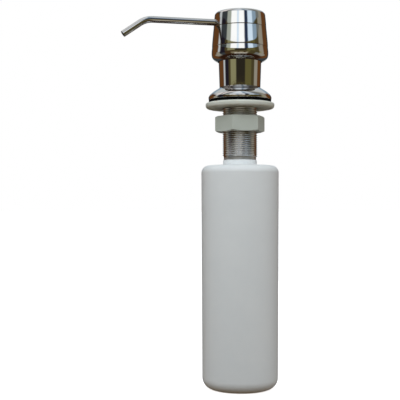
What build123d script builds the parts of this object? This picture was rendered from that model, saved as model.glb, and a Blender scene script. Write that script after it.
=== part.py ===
"""Deck-mounted soap pump dispenser, as an assembly of separate pieces.

Frame: millimetres, +Z up along the shank. The origin is the centre of the deck plane, the
underside of the black gasket that rests on the worktop. The spout reaches out along -X.
Everything above z = 0 stands on the worktop; the shank, nut and bottle hang below it.

The outlines below are drawn from the flange's datum plane, which is DECK_DROP above the deck;
save() sets every piece up by that much, so the written pieces are in the frame above.
"""

from build123d import *
import math
import os

os.makedirs("parts", exist_ok=True)

# ---------------------------------------------------------------- driving dimensions
DECK_DROP = 1.6          # deck plane below the datum plane of the outlines
# pump head
HEAD_TOP = 64.0          # top face of the head
HEAD_R_TOP = 18.36       # outside radius at the top edge
HEAD_R_BOTTOM = 20.56    # widest radius, near the lip
HEAD_EDGE_R = 2.5        # rounding of the top edge
LIP_BOTTOM = 28.2        # underside of the rolled lip
LIP_HOLE_R = 15.95       # hole in the lip that slides over the sleeve
GROOVE_Z = 52.9          # decorative groove
JOINT_Z = 38.6           # joint between head shell and skirt ring
# spout
SPOUT_Z = 56.1
SPOUT_R = 2.35
SPOUT_BORE_R = 1.75
SPOUT_START = -7.0
SPOUT_BEND_X = -69.3
SPOUT_TIP_X = -85.5
SPOUT_TIP_Z = 44.8
SPOUT_BEND_R = 16.0
# pump stroke and stem
STROKE = 14.0
STEM_R = 3.5
STEM_NECK_R = 2.6
STEM_BORE_R = 1.6
STEM_TOP = 53.0
STEM_BOTTOM = 8.05
STEM_SHOULDER = 15.6
PISTON_SLIP = 1.5
# pump cylinder
CYL_R = 6.3
CYL_OUT_R = 7.6
CYL_TOP = 22.5
CYL_FLOOR = -22.0
SOCKET_END = -38.0
BALL_R = 2.5
BALL_Z = -27.45
# dip tube
DIP_R = 2.5
DIP_BORE_R = 1.75
DIP_TOP = -31.0
DIP_END = -201.5
# sleeve between head and base
SLEEVE_R_TOP = 15.55
SLEEVE_R_BOTTOM = 14.8
SLEEVE_TOP = 31.0
SLEEVE_SEAT = 9.4
# base flange and gasket
FLANGE_R = 22.82
FLANGE_BOTTOM = 0.6
GASKET_R = 22.6
# shank, M25 x 1.5
SHANK_MAJOR_R = 12.5
SHANK_CORE_R = 11.62
SHANK_PITCH = 1.5
THREAD_END = -40.9
SHANK_END = -42.8
SHANK_TAIL_R = 11.7
SHANK_BORE_R = 8.9
# washer and nut
WASHER_R = 24.93
WASHER_TOP = -1.65
WASHER_BOTTOM = -5.7
NUT_AF = 32.0
NUT_TOP = -11.4
NUT_BOTTOM = -22.7
NUT_BORE_R = 12.62
NUT_TURN = -2.0          # degrees, how far the hexagon stands turned
# bottle
NECK_THREAD_PITCH = 2.0
SPIGOT_TOP = -31.1
NECK_R = 12.2
NECK_TOP = -42.9
SHOULDER_Z = -46.4
BOTTLE_R_TOP = 27.95
BOTTLE_R_BOTTOM = 27.25
BOTTLE_BOTTOM = -207.6
BOTTLE_WALL = 1.2


# ---------------------------------------------------------------- helpers
def section(points):
    """Closed face in the XZ plane. Each point is (r, z) or (r, z, corner radius)."""
    pts = [(p[0], p[1], p[2] if len(p) > 2 else 0.0) for p in points]
    n = len(pts)
    edges, ends = [], []
    for i, (x, z, rad) in enumerate(pts):
        if rad <= 0:
            ends.append((Vector(x, 0, z), Vector(x, 0, z), None))
            continue
        a = Vector(pts[i - 1][0], 0, pts[i - 1][1])
        b = Vector(x, 0, z)
        c = Vector(pts[(i + 1) % n][0], 0, pts[(i + 1) % n][1])
        u, v = (a - b).normalized(), (c - b).normalized()
        half = math.radians(u.get_angle(v)) / 2
        back = rad / math.tan(half)
        mid = (u + v).normalized()
        centre = b + mid * (rad / math.sin(half))
        ends.append((b + u * back, b + v * back, centre - mid * rad))
    for i in range(n):
        start, stop = ends[i][1], ends[(i + 1) % n][0]
        if ends[i][2] is not None:
            edges.append(ThreePointArc(ends[i][0], ends[i][2], ends[i][1]).edge())
        if (stop - start).length > 1e-6:
            edges.append(Line(start, stop).edge())
    return make_face(edges)


def turned(points):
    """A solid of revolution about Z from a closed (r, z) outline."""
    return revolve(section(points), axis=Axis.Z, revolution_arc=360)


def rod(radius, z0, z1, x=0.0, y=0.0):
    """A vertical cylinder from z0 up to z1."""
    return Location((x, y, z0)) * Cylinder(
        radius, z1 - z0, align=(Align.CENTER, Align.CENTER, Align.MIN)
    )


def rod_x(radius, x0, x1, z):
    """A cylinder along X from x0 to x1."""
    return Location((x0, 0, z), (0, 90, 0)) * Cylinder(
        radius, x1 - x0, align=(Align.CENTER, Align.CENTER, Align.MIN)
    )


def helical_ridge(root_r, tip_r, pitch, z0, height, root_w, tip_w):
    """A right-hand helical ridge of trapezoid section, from z0 up."""
    path = Helix(pitch=pitch, height=height, radius=(root_r + tip_r) / 2, center=(0, 0, z0))
    outline = make_face(
        Polyline(
            Vector(root_r, 0, z0 - root_w / 2),
            Vector(root_r, 0, z0 + root_w / 2),
            Vector(tip_r, 0, z0 + tip_w / 2),
            Vector(tip_r, 0, z0 - tip_w / 2),
            close=True,
        )
    )
    return sweep(outline, path=path, is_frenet=True)


def ring(mean_r, wire_r, z):
    """An O-ring lying flat."""
    return Location((0, 0, z)) * Torus(mean_r, wire_r)


def save(shape, name):
    """One STEP for each sub-part, set up from the datum plane to the deck plane."""
    shape = shape.moved(Location((0, 0, DECK_DROP)))
    shape.label = name
    export_step(shape, f"parts/{name}.step")
    solids = shape.solids()
    print(name, len(solids), "solid(s)", round(sum(s.volume for s in solids), 1), "mm3")


# ---------------------------------------------------------------- pump head
# Plated cap: slightly barrelled cone, flat top, one fine decorative groove, open below.
cap_low = Spline(
    (20.24, 0, JOINT_Z + 0.3),
    (20.17, 0, 41.0),
    (19.9, 0, 44.2),
    (19.63, 0, 47.1),
    (19.37, 0, 50.0),
    (19.1, 0, GROOVE_Z - 0.3),
    tangents=[(-0.01, 0, 1.0), (-0.1, 0, 1.0)],
)
cap_groove = Polyline(
    (19.1, 0, GROOVE_Z - 0.3),
    (18.84, 0, GROOVE_Z - 0.06),
    (18.84, 0, GROOVE_Z + 0.06),
    (19.06, 0, GROOVE_Z + 0.3),
)
edge_x, edge_z = HEAD_R_TOP - HEAD_EDGE_R, HEAD_TOP - HEAD_EDGE_R
cap_edge = [
    (edge_x + HEAD_EDGE_R * math.cos(math.radians(a)), 0, edge_z + HEAD_EDGE_R * math.sin(math.radians(a)))
    for a in (5.7, 48.0, 90.0)
]
cap_high = Spline(
    (19.06, 0, GROOVE_Z + 0.3),
    (18.91, 0, 55.8),
    (18.67, 0, 58.7),
    cap_edge[0],
    tangents=[(-0.05, 0, 1.0), (-0.0998, 0, 1.0)],
)
cap_round = ThreePointArc(*cap_edge)
cap_inside = Polyline(
    cap_edge[2],
    (0, 0, HEAD_TOP),
    (0, 0, 62.2),
    (16.3, 0, 62.2),
    (16.65, 0, 61.85),
    (16.65, 0, 51.3),
    (17.9, 0, 51.3),
    (17.9, 0, JOINT_Z),
    (20.0, 0, JOINT_Z),
    (20.24, 0, JOINT_Z + 0.3),
)
head_shell = revolve(
    make_face([cap_low.edge(), *cap_groove.edges(), cap_high.edge(), cap_round.edge(), *cap_inside.edges()]),
    axis=Axis.Z,
    revolution_arc=360,
)
head_shell -= rod_x(SPOUT_R + 0.06, -24, -14, SPOUT_Z)
save(head_shell, "head_shell")

# Skirt ring: rolled lip below, spigot pressed up into the shell.
belly = Spline(
    (20.22, 0, JOINT_Z - 0.3),
    (20.4, 0, 36.9),
    (20.52, 0, 35.5),
    (HEAD_R_BOTTOM, 0, 34.1),
    (20.46, 0, 32.7),
    (20.16, 0, 31.5),
    (19.6, 0, 30.55),
    (18.8, 0, 29.75),
    (17.7, 0, 29.0),
    (16.7, 0, 28.45),
    (16.25, 0, LIP_BOTTOM),
)
skirt_back = Polyline(
    (16.25, 0, LIP_BOTTOM),
    (LIP_HOLE_R, 0, LIP_BOTTOM + 0.2),
    (LIP_HOLE_R, 0, 30.3),
    (18.2, 0, 33.2),
    (18.35, 0, 36.2),
    (16.4, 0, 38.4),
    (16.4, 0, 44.6),
    (16.6, 0, 45.0),
    (17.6, 0, 45.0),
    (17.87, 0, 44.6),
    (17.87, 0, JOINT_Z),
    (20.0, 0, JOINT_Z),
    (20.22, 0, JOINT_Z - 0.3),
)
head_skirt = revolve(make_face([belly.edge(), *skirt_back.edges()]), axis=Axis.Z, revolution_arc=360)
save(head_skirt, "head_skirt")

# Moulded insert inside the cap: stem socket, spout channel, outer ring and top plate.
head_core = turned([(0, 62.1), (0, 60.0), (15.0, 60.0), (15.0, 51.5), (16.6, 51.5), (16.6, 62.1, 0.6)])
head_core += rod(6.5, 47.0, 61.0)
head_core += rod_x(4.4, -15.8, -4.0, SPOUT_Z)
for turn in (60, 120, 180, 240, 300):
    head_core += Rot(0, 0, turn) * (
        Location((-10.6, 0, 56.6)) * Box(10.2, 1.4, 9.2)
    )
head_core -= rod(STEM_R, 46.0, STEM_TOP)
head_core -= rod(STEM_BORE_R, STEM_TOP - 0.5, SPOUT_Z)
head_core -= rod_x(SPOUT_R, -24.0, SPOUT_START, SPOUT_Z)
head_core -= rod_x(SPOUT_BORE_R, SPOUT_START - 0.5, 0.0, SPOUT_Z)
head_core -= Location((0, 0, SPOUT_Z)) * Sphere(SPOUT_BORE_R)
head_core -= rod_x(SPOUT_R + 0.92, -13.0, -11.9, SPOUT_Z)
save(head_core, "head_core")

spout_o_ring = Location((-12.45, 0, SPOUT_Z), (0, 90, 0)) * Torus(SPOUT_R + 0.46, 0.45)
save(spout_o_ring, "spout_o_ring")

# Bent spout tube.
spout_line = FilletPolyline(
    (SPOUT_START, 0, SPOUT_Z),
    (SPOUT_BEND_X, 0, SPOUT_Z),
    (SPOUT_TIP_X, 0, SPOUT_TIP_Z),
    radius=SPOUT_BEND_R,
)
start_plane = Plane(origin=(SPOUT_START, 0, SPOUT_Z), z_dir=(-1, 0, 0))
spout_tube = sweep(start_plane * Circle(SPOUT_R), path=spout_line)
spout_tube -= sweep(start_plane * Circle(SPOUT_BORE_R), path=spout_line)
save(spout_tube, "spout_tube")

# Hollow stem: wide part in the guide, slim neck through the piston, two inlet ports.
stem = turned(
    [
        (STEM_BORE_R, STEM_TOP),
        (STEM_BORE_R, STEM_BOTTOM),
        (STEM_NECK_R, STEM_BOTTOM),
        (STEM_NECK_R, STEM_SHOULDER),
        (STEM_R, STEM_SHOULDER, 0.2),
        (STEM_R, STEM_TOP, 0.3),
    ]
)
stem -= Location((-5, 0, 8.85), (0, 90, 0)) * Cylinder(0.6, 10, align=(Align.CENTER, Align.CENTER, Align.MIN))
save(stem, "stem")

# Foot of the stem: seals the piston from below and carries the top of the spring.
stem_foot = turned(
    [
        (0, 8.0),
        (0, -5.0),
        (2.2, -5.0, 0.6),
        (2.6, -3.6),
        (2.6, 5.0),
        (5.4, 5.0),
        (5.4, 6.4, 0.4),
        (4.4, 6.8),
        (4.4, 8.0, 0.3),
    ]
)
fins = Location((0, 0, 11.0)) * Box(2 * 1.52, 0.8, 6.2) + Location((0, 0, 11.0)) * Box(0.8, 2 * 1.52, 6.2)
stem_foot += fins & rod(1.54, 7.5, 14.2)
save(stem_foot, "stem_foot")

# Piston: two sealing lips and a waist, free to slip on the stem's neck.
piston = turned(
    [
        (2.66, 8.03),
        (3.9, 8.03, 0.3),
        (4.3, 9.0),
        (5.5, 8.6),
        (6.24, 8.1),
        (6.24, 9.2, 0.2),
        (5.5, 10.2),
        (5.5, 12.0),
        (6.24, 13.0, 0.2),
        (6.24, 14.0),
        (5.4, 13.4),
        (4.2, 12.8),
        (3.8, 14.0, 0.3),
        (2.66, 14.0),
    ]
)
save(piston, "piston")

# Return spring, between the ball cage and the stem's foot.
WIRE_R = 0.45
spring_path = Helix(pitch=24.0 / 8.5, height=24.0, radius=4.6, center=(0, 0, -19.5))
return_spring = sweep(
    Plane(origin=(4.6, 0, -19.5), z_dir=spring_path % 0) * Circle(WIRE_R),
    path=spring_path,
    is_frenet=True,
)
save(return_spring, "return_spring")

# ---------------------------------------------------------------- pump engine
pump_cylinder = turned(
    [
        (CYL_R, CYL_TOP),
        (CYL_R, CYL_FLOOR),
        (3.2, CYL_FLOOR),
        (3.2, -27.0),
        (1.7, -29.5),
        (1.7, DIP_TOP),
        (DIP_R, DIP_TOP),
        (DIP_R, SOCKET_END),
        (4.0, SOCKET_END, 0.4),
        (4.6, SOCKET_END + 3.0),
        (4.6, -24.6, 0.6),
        (CYL_OUT_R, -22.8, 1.0),
        (CYL_OUT_R, 21.0),
        (12.6, 21.0),
        (12.6, CYL_TOP, 0.3),
    ]
)
# air vent above the piston
pump_cylinder -= Location((5.5, 0, 15.0), (0, 90, 0)) * Cylinder(0.5, 4, align=(Align.CENTER, Align.CENTER, Align.MIN))
save(pump_cylinder, "pump_cylinder")

ball_cage = turned([(1.1, -20.0), (1.1, -21.98), (6.27, -21.98), (6.27, -20.0, 0.3)])
for k in range(4):
    a = math.radians(45 + 90 * k)
    ball_cage -= rod(0.75, -23, -19, 2.35 * math.cos(a), 2.35 * math.sin(a))
    ball_cage -= rod(0.9, -23, -19, 4.6 * math.cos(a), 4.6 * math.sin(a))
save(ball_cage, "ball_cage")

inlet_ball = Location((0, 0, BALL_Z)) * Sphere(BALL_R)
save(inlet_ball, "inlet_ball")

dip_tube = turned([(DIP_BORE_R, DIP_TOP), (DIP_BORE_R, DIP_END), (DIP_R, DIP_END), (DIP_R, DIP_TOP)])
# slanted cut at the foot, so that the tube can't seal itself against the bottle
dip_tube -= Location((0, 0, DIP_END), (0, 45, 0)) * Box(14, 14, 7.0, align=(Align.CENTER, Align.CENTER, Align.MAX))
save(dip_tube, "dip_tube")

# Guide plugged into the top of the cylinder; the stem runs in it.
stem_guide = turned(
    [
        (3.55, 27.0, 0.3),
        (3.55, 16.2),
        (5.2, 16.2),
        (6.27, 17.0),
        (6.27, CYL_TOP),
        (8.6, CYL_TOP),
        (8.6, 24.0, 0.3),
        (5.5, 24.0, 0.4),
        (5.5, 27.0, 0.4),
    ]
)
save(stem_guide, "stem_guide")

# Screwed ring that clamps the cylinder's flange down in the sleeve.
pump_closure = turned(
    [
        (4.3, 32.2, 0.4),
        (4.3, 29.2),
        (9.0, 29.2, 0.5),
        (9.0, CYL_TOP),
        (12.95, CYL_TOP),
        (12.95, SLEEVE_TOP),
        (14.6, SLEEVE_TOP),
        (14.6, 32.2, 0.6),
    ]
)
save(pump_closure, "pump_closure")

cylinder_gasket = turned([(7.75, 20.0), (12.8, 20.0), (12.8, 21.0), (7.75, 21.0)])
save(cylinder_gasket, "cylinder_gasket")

# Plated sleeve that the head slides down over; its spigot drops into the base.
neck_sleeve = turned(
    [
        (13.0, SLEEVE_TOP, 0.2),
        (13.0, 20.0),
        (11.4, 20.0),
        (11.4, 5.7),
        (13.95, 5.7, 0.3),
        (13.95, 6.75),
        (12.88, 6.75),
        (12.88, 8.05),
        (13.95, 8.05),
        (13.95, SLEEVE_SEAT),
        (14.55, SLEEVE_SEAT),
        (SLEEVE_R_BOTTOM, SLEEVE_SEAT + 0.3),
        (SLEEVE_R_TOP, SLEEVE_TOP, 0.5),
    ]
)
save(neck_sleeve, "neck_sleeve")

sleeve_o_ring = ring(13.45, 0.55, 7.4)
save(sleeve_o_ring, "sleeve_o_ring")

# ---------------------------------------------------------------- base
# Domed base flange. The crown is a smooth curve from the sleeve seat to the rim.
crown = Spline(
    (15.0, 0, 9.2),
    (16.35, 0, 8.3),
    (18.0, 0, 7.3),
    (19.6, 0, 6.2),
    (20.95, 0, 5.05),
    (22.0, 0, 3.95),
    (22.6, 0, 2.9),
    (FLANGE_R, 0, 1.9),
    tangents=[(1.0, 0, -0.6), (0.0, 0, -1.0)],
)
rim = Spline(
    (FLANGE_R, 0, 1.9),
    (22.75, 0, 1.1),
    (22.4, 0, FLANGE_BOTTOM),
    tangents=[(0.0, 0, -1.0), (-1.0, 0, 0.0)],
)
inner = Polyline(
    (22.4, 0, FLANGE_BOTTOM),
    (20.6, 0, FLANGE_BOTTOM),
    (19.6, 0, 4.3),
    (16.4, 0, 4.3),
    (16.0, 0, FLANGE_BOTTOM),
    (12.62, 0, FLANGE_BOTTOM),
    (12.62, 0, 4.0),
    (13.65, 0, 4.0),
    (13.65, 0, 5.5),
    (14.05, 0, 5.5),
    (14.05, 0, 9.2),
    (15.0, 0, 9.2),
)
base_flange = revolve(make_face([crown.edge(), rim.edge(), *inner.edges()]), axis=Axis.Z, revolution_arc=360)
save(base_flange, "base_flange")

flange_gasket = turned(
    [
        (12.75, -DECK_DROP),
        (GASKET_R, -DECK_DROP, 0.35),
        (GASKET_R, FLANGE_BOTTOM, 0.2),
        (12.75, FLANGE_BOTTOM),
    ]
)
save(flange_gasket, "flange_gasket")

# Threaded shank: lip held in the base, outside thread for the nut, inside thread for the bottle.
threaded_shank = turned(
    [
        (SHANK_BORE_R, 5.5),
        (SHANK_BORE_R, -29.6),
        (10.35, -29.6),
        (10.35, SHANK_END, 0.3),
        (SHANK_TAIL_R, SHANK_END, 0.3),
        (SHANK_TAIL_R, THREAD_END),
        (SHANK_CORE_R, THREAD_END + 0.3),
        (SHANK_CORE_R, -1.0),
        (12.55, -0.4),
        (12.55, 4.0),
        (13.6, 4.0),
        (13.6, 5.5, 0.2),
    ]
)
threaded_shank += helical_ridge(
    11.5, SHANK_MAJOR_R, SHANK_PITCH, THREAD_END + 0.95, 38.1, 1.36, 0.2
)
threaded_shank += helical_ridge(10.45, 9.8, NECK_THREAD_PITCH, -40.9, 9.0, 0.8, 0.3)
save(threaded_shank, "threaded_shank")

# ---------------------------------------------------------------- under the worktop
mounting_washer = turned(
    [
        (12.95, WASHER_TOP, 0.4),
        (12.95, WASHER_BOTTOM, 0.4),
        (WASHER_R - 0.45, WASHER_BOTTOM, 1.9),
        (WASHER_R, WASHER_BOTTOM + 2.6, 0.8),
        (WASHER_R - 0.2, WASHER_TOP, 1.2),
    ]
)
save(mounting_washer, "mounting_washer")

# Hexagonal nut with chamfered corners and its own inside thread.
nut_h = NUT_TOP - NUT_BOTTOM
corner_r = NUT_AF / 2 / math.cos(math.pi / 6)
hexagon = Rot(0, 0, NUT_TURN) * RegularPolygon(radius=corner_r, side_count=6)
mounting_nut = Location((0, 0, NUT_BOTTOM)) * extrude(hexagon, nut_h)
mounting_nut = fillet(mounting_nut.edges().filter_by(Axis.Z), 0.45)
mounting_nut &= turned(
    [
        (0, NUT_TOP),
        (0, NUT_BOTTOM),
        (16.0, NUT_BOTTOM, 0.4),
        (corner_r + 0.4, NUT_BOTTOM + 1.15),
        (corner_r + 0.4, NUT_TOP - 0.95),
        (17.0, NUT_TOP, 0.3),
    ]
)
mounting_nut -= turned(
    [
        (0, NUT_TOP + 1),
        (0, NUT_BOTTOM - 1),
        (14.0, NUT_BOTTOM - 1),
        (13.2, NUT_BOTTOM),
        (NUT_BORE_R, NUT_BOTTOM + 0.6),
        (NUT_BORE_R, NUT_TOP - 0.6),
        (13.2, NUT_TOP),
        (14.0, NUT_TOP + 1),
    ]
)
turns_up = int((NUT_BOTTOM + 1.6 - (THREAD_END + 0.95)) / SHANK_PITCH)
nut_thread_z = THREAD_END + 0.95 + (turns_up + 0.5) * SHANK_PITCH
mounting_nut += helical_ridge(12.7, 11.85, SHANK_PITCH, nut_thread_z, 7.6, 1.0, 0.2)
save(mounting_nut, "mounting_nut")

# ---------------------------------------------------------------- bottle
neck_seal = turned([(8.1, -31.05), (9.7, -31.05, 0.2), (9.7, -29.65, 0.2), (8.1, -29.65)])
save(neck_seal, "neck_seal")

w = BOTTLE_WALL
bottle = turned(
    [
        # inside, from the mouth down
        (7.9, SPIGOT_TOP, 0.3),
        (7.9, SHOULDER_Z - w + 0.3, 1.2),
        (BOTTLE_R_TOP - w, SHOULDER_Z - w - 0.75, 4.2),
        (BOTTLE_R_BOTTOM - w, BOTTLE_BOTTOM + w, 7.0),
        (17.4, BOTTLE_BOTTOM + w, 1.5),
        (14.6, BOTTLE_BOTTOM + w + 1.9, 2.0),
        (0, BOTTLE_BOTTOM + w + 2.7),
        # outside, from the pushed-up base back to the mouth
        (0, BOTTLE_BOTTOM + 2.7),
        (15.0, BOTTLE_BOTTOM + 1.9, 2.0),
        (17.9, BOTTLE_BOTTOM, 1.2),
        (BOTTLE_R_BOTTOM, BOTTLE_BOTTOM, 8.2),
        (BOTTLE_R_TOP, SHOULDER_Z - 0.75, 5.2),
        (NECK_R, SHOULDER_Z, 0.5),
        (NECK_R, NECK_TOP, 0.4),
        (9.65, NECK_TOP, 0.3),
        (9.65, SPIGOT_TOP, 0.4),
    ]
)
bottle += helical_ridge(9.55, 10.15, NECK_THREAD_PITCH, -40.9 + 1.0, 6.0, 0.9, 0.45)
save(bottle, "bottle")
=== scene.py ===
import math

import bmesh
import bpy
from mathutils import Matrix, Vector


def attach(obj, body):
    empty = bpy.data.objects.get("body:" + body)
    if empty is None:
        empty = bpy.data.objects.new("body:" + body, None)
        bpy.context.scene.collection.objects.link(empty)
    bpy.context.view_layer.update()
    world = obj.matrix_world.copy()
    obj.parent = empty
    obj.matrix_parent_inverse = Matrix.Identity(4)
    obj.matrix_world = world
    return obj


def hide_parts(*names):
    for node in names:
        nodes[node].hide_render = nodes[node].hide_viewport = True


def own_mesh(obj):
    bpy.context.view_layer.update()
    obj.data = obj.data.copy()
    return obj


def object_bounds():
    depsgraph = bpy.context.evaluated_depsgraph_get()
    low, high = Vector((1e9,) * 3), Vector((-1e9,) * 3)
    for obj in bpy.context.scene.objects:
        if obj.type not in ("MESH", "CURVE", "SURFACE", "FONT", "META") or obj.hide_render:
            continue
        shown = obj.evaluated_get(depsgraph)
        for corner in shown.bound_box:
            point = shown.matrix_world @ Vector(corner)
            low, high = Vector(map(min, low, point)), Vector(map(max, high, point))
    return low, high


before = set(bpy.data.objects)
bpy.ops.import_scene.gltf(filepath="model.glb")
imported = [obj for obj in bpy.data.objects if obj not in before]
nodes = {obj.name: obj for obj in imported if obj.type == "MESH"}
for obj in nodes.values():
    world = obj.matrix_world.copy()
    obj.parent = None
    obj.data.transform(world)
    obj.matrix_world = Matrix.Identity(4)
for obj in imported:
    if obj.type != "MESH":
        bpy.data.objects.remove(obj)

cad_lo, cad_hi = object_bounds()
scene = bpy.context.scene

# ------------------------------------------------------------------ node-graph helpers


class Graph:
    """A short way to write a node tree."""

    def __init__(self, tree):
        self.tree = tree
        tree.nodes.clear()

    def add(self, kind, **values):
        node = self.tree.nodes.new(kind)
        for key, value in values.items():
            setattr(node, key, value)
        return node

    def link(self, source, target):
        self.tree.links.new(source, target)

    def feed(self, socket, value):
        if isinstance(value, bpy.types.NodeSocket):
            self.link(value, socket)
        else:
            socket.default_value = value

    def math(self, operation, a, b=None, c=None, clamp=False):
        node = self.add("ShaderNodeMath", operation=operation, use_clamp=clamp)
        self.feed(node.inputs[0], a)
        if b is not None:
            self.feed(node.inputs[1], b)
        if c is not None:
            self.feed(node.inputs[2], c)
        return node.outputs[0]

    def dot(self, a, vector):
        node = self.add("ShaderNodeVectorMath", operation="DOT_PRODUCT")
        self.feed(node.inputs[0], a)
        node.inputs[1].default_value = vector
        return node.outputs["Value"]

    def ramp(self, factor, stops, interpolation="LINEAR"):
        node = self.add("ShaderNodeValToRGB")
        ramp = node.color_ramp
        ramp.interpolation = interpolation
        while len(ramp.elements) > 1:
            ramp.elements.remove(ramp.elements[-1])
        for i, (place, colour) in enumerate(stops):
            if not hasattr(colour, "__len__"):
                colour = (colour, colour, colour)
            element = ramp.elements[0] if i == 0 else ramp.elements.new(place)
            element.position = place
            element.color = (*colour[:3], 1.0)
        self.feed(node.inputs[0], factor)
        return node.outputs["Color"]

    def range(self, value, a, b, c=0.0, d=1.0, smooth=False):
        node = self.add("ShaderNodeMapRange")
        node.interpolation_type = "SMOOTHSTEP" if smooth else "LINEAR"
        node.clamp = True
        self.feed(node.inputs[0], value)
        for i, v in enumerate((a, b, c, d)):
            node.inputs[1 + i].default_value = v
        return node.outputs[0]

    def mix(self, factor, a, b, blend="MIX"):
        node = self.add("ShaderNodeMix", data_type="RGBA", blend_type=blend)
        self.feed(node.inputs[0], factor)
        for socket, value in ((node.inputs[6], a), (node.inputs[7], b)):
            if isinstance(value, tuple) and len(value) == 3:
                value = (*value, 1.0)
            self.feed(socket, value)
        return node.outputs[2]

    def noise(self, vector, scale, detail=3.0, rough=0.5, distortion=0.0):
        node = self.add("ShaderNodeTexNoise")
        self.feed(node.inputs["Vector"], vector)
        node.inputs["Scale"].default_value = scale
        node.inputs["Detail"].default_value = detail
        node.inputs["Roughness"].default_value = rough
        node.inputs["Distortion"].default_value = distortion
        return node.outputs["Fac"]

    def stretched(self, vector, scale, location=(0, 0, 0)):
        node = self.add("ShaderNodeMapping")
        self.feed(node.inputs["Vector"], vector)
        node.inputs["Location"].default_value = location
        node.inputs["Scale"].default_value = scale
        return node.outputs[0]

    def bump(self, height, strength, distance, normal=None):
        node = self.add("ShaderNodeBump")
        self.feed(node.inputs["Height"], height)
        node.inputs["Strength"].default_value = strength
        node.inputs["Distance"].default_value = distance
        if normal is not None:
            self.feed(node.inputs["Normal"], normal)
        return node.outputs[0]


def srgb(r, g, b):
    """An 8-bit display colour as linear light."""
    out = []
    for v in (r, g, b):
        v /= 255.0
        out.append(v / 12.92 if v <= 0.04045 else ((v + 0.055) / 1.055) ** 2.4)
    return tuple(out)


def material(name, **shader):
    """A Principled material and its graph, with constants set on the shader's own sockets."""
    mat = bpy.data.materials.new(name)
    mat.use_nodes = True
    g = Graph(mat.node_tree)
    out = g.add("ShaderNodeOutputMaterial")
    bsdf = g.add("ShaderNodeBsdfPrincipled")
    g.link(bsdf.outputs[0], out.inputs["Surface"])
    for key, value in shader.items():
        bsdf.inputs[key.replace("_", " ")].default_value = value
    coord = g.add("ShaderNodeTexCoord")
    return mat, g, bsdf, coord.outputs["Object"]


# ------------------------------------------------------------------ camera
AZ = math.radians(-16.0)
FORWARD = Vector((-math.sin(AZ), math.cos(AZ), 0.0))
RIGHT = Vector((math.cos(AZ), math.sin(AZ), 0.0))
DIST = 0.652
cam = bpy.data.cameras.new("camera")
cam.sensor_width = 36.0
cam.lens = 81.0
cam.dof.use_dof = False
cam_ob = bpy.data.objects.new("camera", cam)
scene.collection.objects.link(cam_ob)
cam_ob.location = -FORWARD * DIST + Vector((0, 0, -0.0759))
turn = math.atan(40.0 / 900.0)
look = FORWARD * math.cos(turn) - RIGHT * math.sin(turn)
pitch = math.atan(8.0 / 900.0)
look = look * math.cos(pitch) + Vector((0, 0, math.sin(pitch)))
cam_ob.rotation_mode = "QUATERNION"
cam_ob.rotation_quaternion = look.to_track_quat("-Z", "Y")
scene.camera = cam_ob

# ------------------------------------------------------------------ surroundings
scene.view_settings.view_transform = "Standard"
scene.view_settings.look = "None"
scene.view_settings.exposure = 0.0
scene.view_settings.gamma = 1.0

world = bpy.data.worlds.new("studio")
scene.world = world
world.use_nodes = True
w = Graph(world.node_tree)
w_out = w.add("ShaderNodeOutputWorld")
direction = w.add("ShaderNodeTexCoord").outputs["Generated"]
azimuth = w.math("ARCTAN2", w.dot(direction, tuple(RIGHT)), w.dot(direction, tuple(-FORWARD)))
azimuth = w.math("DIVIDE", azimuth, 2 * math.pi)
azimuth = w.math("ADD", azimuth, 0.5)
height = w.math("ARCSINE", w.dot(direction, (0, 0, 1)))
height = w.math("MULTIPLY", height, 180 / math.pi)


# The room that the plating mirrors: plain upright panels in a few shared tones.
RUST, BROWN, NIGHT, DARK = (92, 58, 30), (64, 46, 26), (30, 26, 34), (40, 36, 28)
OLIVE, MOSS, KHAKI, SAND = (70, 62, 38), (90, 84, 48), (130, 126, 92), (120, 110, 86)
STONE, GREY, SLATE, STEEL = (140, 134, 120), (108, 110, 106), (54, 58, 60), (130, 150, 166)
NAVY, HAZE, PALE, WHITE = (36, 46, 68), (205, 222, 236), (180, 184, 184), (252, 252, 250)


def panels(*spans, soft=6, gain=1.08):
    """Ramp stops from (first azimuth in degrees, tone) spans, each lasting until the next one."""
    stops = [(0.0, spans[0][1])]
    for (_, before), (start, tone) in zip(spans, spans[1:]):
        stops.append(((start - soft / 2 + 180.0) / 360.0, before))
        stops.append(((start + soft / 2 + 180.0) / 360.0, tone))
    return [(place, tuple(v * gain for v in srgb(*tone))) for place, tone in stops]


# window height: a wide window left of centre, its dark frame, a second pane, timber walls on both
# sides and a pale window behind
high = w.ramp(azimuth, panels(
    (-180, STEEL), (-152, RUST), (-132, DARK), (-104, PALE), (-89, SLATE), (-58, (155, 160, 148)), (-39, WHITE),
    (-13, HAZE), (-5, WHITE), (19, NAVY), (34, HAZE), (56, STEEL), (76, GREY), (93, STONE), (110, RUST),
    (152, STEEL), soft=5))
# eye height: a darker room
low = w.ramp(azimuth, panels(
    (-180, PALE), (-168, SLATE), (-148, RUST), (-100, PALE), (-88, NIGHT), (-64, OLIVE), (-52, KHAKI), (-21, DARK),
    (28, MOSS), (64, OLIVE), (84, STONE), (110, RUST), (148, SLATE), (168, PALE)))
# just under eye height
skirting = w.ramp(azimuth, panels(
    (-180, PALE), (-168, SLATE), (-148, RUST), (-110, STONE), (-90, NIGHT), (-62, BROWN), (-26, OLIVE), (30, MOSS),
    (42, OLIVE), (86, KHAKI), (96, STONE), (112, RUST), (148, SLATE), (168, PALE)))
below = w.ramp(azimuth, panels(
    (-180, SLATE), (-152, RUST), (-122, STONE), (-90, SLATE), (-66, BROWN), (-38, SAND), (-9, BROWN), (-3, SAND),
    (15, BROWN), (24, SAND), (35, OLIVE), (66, GREY), (86, STONE), (124, RUST), (152, SLATE)))
above = w.ramp(azimuth, panels(
    (-180, PALE), (-118, (214, 206, 202)), (-70, GREY), (-54, PALE), (-40, (220, 226, 232)), (14, STEEL), (34,
     (206, 214, 222)), (66, GREY), (104, STONE), (126, PALE), soft=12))
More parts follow.
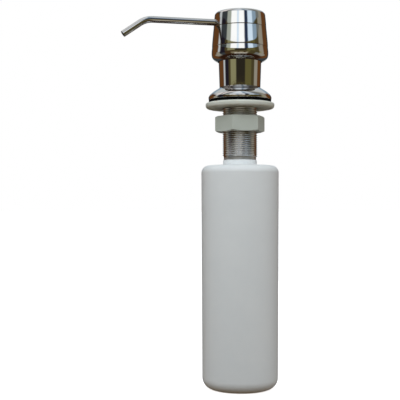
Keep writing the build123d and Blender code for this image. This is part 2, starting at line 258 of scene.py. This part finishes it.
# the window's sill is lowest in the middle and curves up to both sides
side = w.math("MULTIPLY", w.math("SUBTRACT", azimuth, 0.5 + 3.0 / 360.0), 360.0 / 75.0)
side = w.math("MULTIPLY", side, side)
sill = w.math("MULTIPLY", w.math("MINIMUM", side, 1.0), 5.5)
over_sill = w.math("SUBTRACT", height, sill)
sky = w.mix(w.range(over_sill, 12.6, 14.2, smooth=True), low, high)
# its top bar, then the ceiling
front = w.range(w.math("MINIMUM", side, 4.0), 0.5, 1.6, 1.0, 0.0, smooth=True)
ceiling = w.mix(w.math("MULTIPLY", w.range(height, 66.0, 56.0, smooth=True), w.math("MULTIPLY", front, 0.55)), above, srgb(96, 98, 104))
sky = w.mix(w.range(height, 27.0, 38.0, smooth=True), sky, ceiling)
sky = w.mix(w.range(height, 4.35, 3.75, smooth=True), sky, skirting)
sky = w.mix(w.range(height, -4.0, -12.0, smooth=True), sky, below)
sky = w.mix(w.range(height, -30.0, -46.0, smooth=True), sky, srgb(44, 24, 14))
# pale things on the counter in front
clutter = w.noise(w.stretched(direction, (1, 1, 1)), 22.0, 2.0, 0.5)
clutter = w.range(clutter, 0.46, 0.56, 0.25, 1.0)
clutter = w.math("MULTIPLY", clutter, w.range(height, -20.0, -24.0, smooth=True))
clutter = w.math("MULTIPLY", clutter, w.range(height, -50.0, -44.0, smooth=True))
clutter = w.math("MULTIPLY", clutter, w.range(side, 0.20, 0.10, smooth=True))
sky = w.mix(clutter, sky, srgb(205, 200, 185))
sky = w.mix(w.range(height, -60.0, -85.0, smooth=True), sky, srgb(22, 12, 8))
# what matt surfaces receive: even soft light, cool from above, dim and warm from below
even = w.mix(w.range(height, -30.0, 25.0, smooth=True), (0.11, 0.065, 0.018), (0.34, 0.365, 0.385))
even = w.mix(w.range(height, 20.0, 80.0, smooth=True), even, (0.60, 0.63, 0.65))
path = w.add("ShaderNodeLightPath")
# what one mirror shows in another is dimmer, as in a cluttered room
deep = w.math("GREATER_THAN", path.outputs["Glossy Depth"], 1.5)
deep = w.math("MULTIPLY", deep, w.range(height, 62.0, 46.0, smooth=True))
sky = w.mix(w.math("MULTIPLY", deep, 0.78), sky, srgb(40, 30, 22))
room = w.add("ShaderNodeBackground")
w.link(w.mix(path.outputs["Is Diffuse Ray"], sky, even), room.inputs["Color"])
room.inputs["Strength"].default_value = 1.0
white = w.add("ShaderNodeBackground")
white.inputs["Color"].default_value = (1, 1, 1, 1)
white.inputs["Strength"].default_value = 1.0
pick = w.add("ShaderNodeMixShader")
w.link(path.outputs["Is Camera Ray"], pick.inputs[0])
w.link(room.outputs[0], pick.inputs[1])
w.link(white.outputs[0], pick.inputs[2])
w.link(pick.outputs[0], w_out.inputs["Surface"])


def soft_light(name, position, target, size, power, colour=(1, 1, 1), glossy=False):
    light = bpy.data.lights.new(name, "AREA")
    light.shape = "RECTANGLE"
    light.size, light.size_y = size
    light.energy = power
    light.color = colour
    ob = bpy.data.objects.new(name, light)
    scene.collection.objects.link(ob)
    ob.location = position
    ob.rotation_mode = "QUATERNION"
    ob.rotation_quaternion = (Vector(target) - Vector(position)).to_track_quat("-Z", "Y")
    ob.visible_glossy = glossy
    ob.visible_camera = False
    return ob


BACK = -FORWARD
LEFT = -RIGHT
soft_light("key", BACK * 0.44 + LEFT * 0.10 + Vector((0, 0, 0.27)), (0, 0, -0.06), (0.4, 0.35), 1.72, (0.94, 1.0, 1.03))
soft_light("right_fill", RIGHT * 0.8 + BACK * 0.1 + Vector((0, 0, 0.05)), (0, 0, -0.1), (0.6, 0.8), 1.5)
soft_light("left_fill", LEFT * 0.8 + BACK * 0.1 + Vector((0, 0, 0.05)), (0, 0, -0.1), (0.6, 0.8), 0.5)
soft_light("back_fill", FORWARD * 0.8 + RIGHT * 0.15 + Vector((0, 0, 0.2)), (0, 0, -0.1), (0.6, 0.8), 1.1)

# Floor, a pale sheet that the bottle stands on.
floor_mesh = bpy.data.meshes.new("floor")
fz = cad_lo.z
floor_mesh.from_pydata([(-30, -30, fz), (30, -30, fz), (30, 30, fz), (-30, 30, fz)], [], [(0, 1, 2, 3)])
floor = bpy.data.objects.new("floor", floor_mesh)
scene.collection.objects.link(floor)
floor_mat = bpy.data.materials.new("floor_pale")
floor_mat.use_nodes = True
g = Graph(floor_mat.node_tree)
f_out = g.add("ShaderNodeOutputMaterial")
f_diff = g.add("ShaderNodeBsdfDiffuse")
f_diff.inputs["Color"].default_value = (0.8, 0.8, 0.8, 1)
f_em = g.add("ShaderNodeEmission")
f_em.inputs["Color"].default_value = (1, 1, 1, 1)
f_em.inputs["Strength"].default_value = 0.8
f_add = g.add("ShaderNodeAddShader")
g.link(f_diff.outputs[0], f_add.inputs[0])
g.link(f_em.outputs[0], f_add.inputs[1])
g.link(f_add.outputs[0], f_out.inputs["Surface"])
floor.data.materials.append(floor_mat)
floor.visible_diffuse = False
floor.visible_glossy = False
floor.visible_transmission = False

# ------------------------------------------------------------------ materials


def paint(name, mat):
    """Every slot of a CAD node gets this material."""
    ob = nodes[name]
    if not ob.material_slots:
        ob.data.materials.append(mat)
    for s in ob.material_slots:
        s.material = mat


def chrome(name, tint=(0.93, 0.935, 0.94), rough=(0.012, 0.035), seed=0.0, peel=0.05):
    mat, g, bsdf, obj = material(name, Metallic=1.0)
    moved = g.stretched(obj, (1, 1, 1), (seed, seed * 0.7, 0))
    smudge = g.noise(moved, 60.0, 4.0, 0.6)
    fine = g.noise(moved, 900.0, 2.0, 0.5)
    g.link(g.range(smudge, 0.35, 0.75, rough[0], rough[1]), bsdf.inputs["Roughness"])
    dark = tuple(v * 0.93 for v in tint)
    g.link(g.mix(g.range(smudge, 0.3, 0.8), tint, dark), bsdf.inputs["Base Color"])
    wave = g.noise(moved, 70.0, 1.0, 0.4)
    n = g.bump(wave, peel, 0.0006)
    n = g.bump(fine, 0.03, 0.0001, n)
    g.link(n, bsdf.inputs["Normal"])
    return mat


chrome_mat = chrome("chrome_plate")
paint("head_shell", chrome_mat)
paint("head_skirt", chrome_mat)
paint("neck_sleeve", chrome("chrome_sleeve", seed=0.3))
paint("base_flange", chrome("chrome_flange", seed=0.7, peel=0.08))
paint("spout_tube", chrome("chrome_spout", tint=(0.92, 0.92, 0.915), seed=1.1, peel=0.02))

# shank: rolled thread with rounded crests, in turned satin metal
DROP = 1.6              # mm, the deck plane below the part's drawing datum
PITCH = 1.5
CREST_R, ROOT_R, TAIL_R = 12.55, 11.72, 11.7
THREAD_LOW, THREAD_HIGH, THREAD_START = -40.75, -1.35, -39.95
NECK_PITCH, NECK_START = 2.0, -40.9


def ease(x, a, b):
    t = min(1.0, max(0.0, (x - a) / (b - a)))
    return t * t * (3 - 2 * t)


def outer_r(z, theta):
    base = TAIL_R + (ROOT_R - TAIL_R) * ease(z, THREAD_LOW, THREAD_LOW + 0.6)
    wave = 0.5 + 0.5 * math.cos(2 * math.pi * ((z - THREAD_START) / PITCH - theta / (2 * math.pi)))
    fade = ease(z, THREAD_LOW, THREAD_LOW + 0.7) * (1 - ease(z, THREAD_HIGH - 0.7, THREAD_HIGH))
    return base + (CREST_R - base) * wave ** 0.9 * fade


def inner_r(z, theta):
    wave = 0.5 + 0.5 * math.cos(2 * math.pi * ((z - NECK_START) / NECK_PITCH - theta / (2 * math.pi)))
    fade = ease(z, -41.6, -40.8) * (1 - ease(z, -32.2, -31.4))
    return 10.35 - 0.55 * wave ** 1.5 * fade


rows = [(lambda th: 10.6, -42.8), (lambda th: 11.5, -42.8), (lambda th: TAIL_R, -42.6)]
z = -42.3
while z < THREAD_HIGH:
    rows.append((lambda th, z=z: outer_r(z, th), z))
    z += 0.107 if z > THREAD_LOW - 0.1 else 0.4
for r, z in ((ROOT_R, -1.1), (12.5, -0.45), (12.55, -0.4), (12.55, 3.95), (12.6, 4.0), (13.55, 4.0), (13.6, 4.05),
             (13.6, 5.3), (13.4, 5.5), (9.1, 5.5), (8.9, 5.3), (8.9, -29.5), (9.0, -29.6), (10.25, -29.6), (10.35, -29.7)):
    rows.append((lambda th, r=r: r, z))
z = -31.2
while z > -42.4:
    rows.append((lambda th, z=z: inner_r(z, th), z))
    z -= 0.2
rows.append((lambda th: 10.35, -42.6))
AROUND = 192
bm = bmesh.new()
grid = []
for radius_at, z in rows:
    ring = []
    for k in range(AROUND):
        th = 2 * math.pi * k / AROUND
        r = radius_at(th) / 1000.0
        ring.append(bm.verts.new((r * math.cos(th), r * math.sin(th), (z + DROP) / 1000.0)))
    grid.append(ring)
for i in range(len(grid)):
    lower, upper = grid[i], grid[(i + 1) % len(grid)]
    for k in range(AROUND):
        k2 = (k + 1) % AROUND
        bm.faces.new((lower[k], lower[k2], upper[k2], upper[k]))
bmesh.ops.recalc_face_normals(bm, faces=bm.faces)
shank_mesh = bpy.data.meshes.new("shank_rolled")
bm.to_mesh(shank_mesh)
bm.free()
for poly in shank_mesh.polygons:
    poly.use_smooth = True
shank_mesh.set_sharp_from_angle(angle=math.radians(50))
shank = bpy.data.objects.new("shank_rolled", shank_mesh)
scene.collection.objects.link(shank)

mat, g, bsdf, obj = material("turned_metal", Metallic=1.0)
marks = g.noise(g.stretched(obj, (20, 20, 2200)), 1.0, 2.0, 0.5)
spots = g.noise(obj, 140.0, 4.0, 0.6)
streaks = g.noise(g.stretched(obj, (90, 90, 500)), 1.0, 3.0, 0.6)
split = g.add("ShaderNodeSeparateXYZ")
g.link(obj, split.inputs[0])
tail = g.range(split.outputs[2], -0.0392, -0.0396, smooth=True)
g.link(g.math("ADD", g.range(spots, 0.3, 0.75, 0.11, 0.19), g.math("MULTIPLY", tail, 0.35)), bsdf.inputs["Roughness"])
metal = g.mix(g.range(spots, 0.35, 0.75), (0.80, 0.81, 0.82), (0.66, 0.67, 0.68))
metal = g.mix(g.range(streaks, 0.45, 0.75, 0.0, 0.5), metal, (0.50, 0.47, 0.43))
# painted shade: the roots of the thread are darkened towards brown-black, except on the plain tail
radial = g.math("SQRT", g.math("ADD", g.math("MULTIPLY", split.outputs[0], split.outputs[0]), g.math("MULTIPLY", split.outputs[1], split.outputs[1])))
metal = g.mix(g.math("MULTIPLY", g.range(radial, 0.01176, 0.01212, 0.4, 0.0, smooth=True), g.math("SUBTRACT", 1.0, tail)), metal, (0.16, 0.13, 0.11))
g.link(metal, bsdf.inputs["Base Color"])
# worn, burnished crests: the thread's flanks shade softer than they are
outward = g.add("ShaderNodeVectorMath", operation="MULTIPLY")
g.link(obj, outward.inputs[0])
outward.inputs[1].default_value = (1, 1, 0)
unit = g.add("ShaderNodeVectorMath", operation="NORMALIZE")
g.link(outward.outputs[0], unit.inputs[0])
facing = g.add("ShaderNodeNewGeometry")
wall = g.add("ShaderNodeVectorMath", operation="DOT_PRODUCT")
g.link(facing.outputs["Normal"], wall.inputs[0])
g.link(unit.outputs[0], wall.inputs[1])
soften = g.range(wall.outputs["Value"], 0.3, 0.6, 0.0, 0.62)
blend = g.add("ShaderNodeMix", data_type="VECTOR")
g.link(soften, blend.inputs[0])
g.link(facing.outputs["Normal"], blend.inputs[4])
g.link(unit.outputs[0], blend.inputs[5])
smooth_n = g.add("ShaderNodeVectorMath", operation="NORMALIZE")
g.link(blend.outputs[1], smooth_n.inputs[0])
g.link(g.bump(marks, 0.08, 0.0001, smooth_n.outputs[0]), bsdf.inputs["Normal"])
paint("threaded_shank", mat)
shank.data.materials.append(mat)
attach(shank, "base")
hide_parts("threaded_shank")

# rubber
mat, g, bsdf, obj = material("black_rubber", Specular_IOR_Level=0.06)
grain = g.noise(obj, 700.0, 4.0, 0.6)
patch = g.noise(obj, 90.0, 3.0, 0.6)
g.link(g.range(patch, 0.3, 0.7, 0.7, 0.9), bsdf.inputs["Roughness"])
g.link(g.mix(g.range(patch, 0.35, 0.7), (0.0010, 0.0010, 0.0012), (0.003, 0.0028, 0.0026)), bsdf.inputs["Base Color"])
g.link(g.bump(grain, 0.15, 0.0002), bsdf.inputs["Normal"])
for n_ in ("flange_gasket", "spout_o_ring", "sleeve_o_ring", "cylinder_gasket", "neck_seal"):
    paint(n_, mat)


def plastic(name, light, dark, rough=(0.38, 0.5), grain_scale=1400.0, grain=0.08, patch_scale=45.0, sss=0.0, radius=(0.002, 0.002, 0.002)):
    mat, g, bsdf, obj = material(name, Subsurface_Weight=sss, Subsurface_Scale=1.0)
    bsdf.inputs["Subsurface Radius"].default_value = radius
    patch = g.noise(obj, patch_scale, 4.0, 0.55)
    fine = g.noise(obj, grain_scale, 3.0, 0.6)
    g.link(g.range(patch, 0.3, 0.7, *rough), bsdf.inputs["Roughness"])
    g.link(g.mix(g.range(patch, 0.32, 0.7), light, dark), bsdf.inputs["Base Color"])
    g.link(g.bump(fine, grain, 0.0001), bsdf.inputs["Normal"])
    return mat, g, bsdf, obj


paint("mounting_washer", plastic("washer_plastic", (0.66, 0.68, 0.62), (0.61, 0.62, 0.55), sss=0.15, radius=(0.003, 0.0024, 0.0018))[0])
paint("mounting_nut", plastic("nut_plastic", (0.50, 0.53, 0.48), (0.46, 0.49, 0.43), sss=0.1, radius=(0.002, 0.002, 0.0016))[0])
paint("bottle", plastic("bottle_hdpe", (0.84, 0.865, 0.875), (0.81, 0.84, 0.855), rough=(0.36, 0.46), sss=0.2, radius=(0.006, 0.0065, 0.007))[0])
pp = plastic("pump_pp", (0.84, 0.85, 0.84), (0.80, 0.81, 0.80), rough=(0.28, 0.36), sss=0.2)[0]
for n_ in ("head_core", "stem", "stem_foot", "piston", "pump_cylinder", "ball_cage", "stem_guide"):
    paint(n_, pp)
paint("pump_closure", plastic("closure_plastic", (0.82, 0.82, 0.80), (0.78, 0.78, 0.76), sss=0.1)[0])
paint("dip_tube", plastic("dip_pe", (0.84, 0.86, 0.86), (0.80, 0.82, 0.83), rough=(0.25, 0.35), sss=0.3)[0])
steel = chrome("ball_steel", tint=(0.78, 0.78, 0.79), rough=(0.06, 0.12), seed=2.0, peel=0.0)
paint("inlet_ball", steel)
wire = chrome("spring_wire", tint=(0.66, 0.66, 0.67), rough=(0.18, 0.3), seed=3.0, peel=0.02)
paint("return_spring", wire)

# the return spring as a copy of its own, carried by the insert
coil_mesh = nodes["return_spring"].data.copy()
coil_mesh.materials.clear()
coil_mesh.materials.append(wire)
coil = bpy.data.objects.new("coil_spring", coil_mesh)
scene.collection.objects.link(coil)
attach(coil, "insert")
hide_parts("return_spring")
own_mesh(coil)
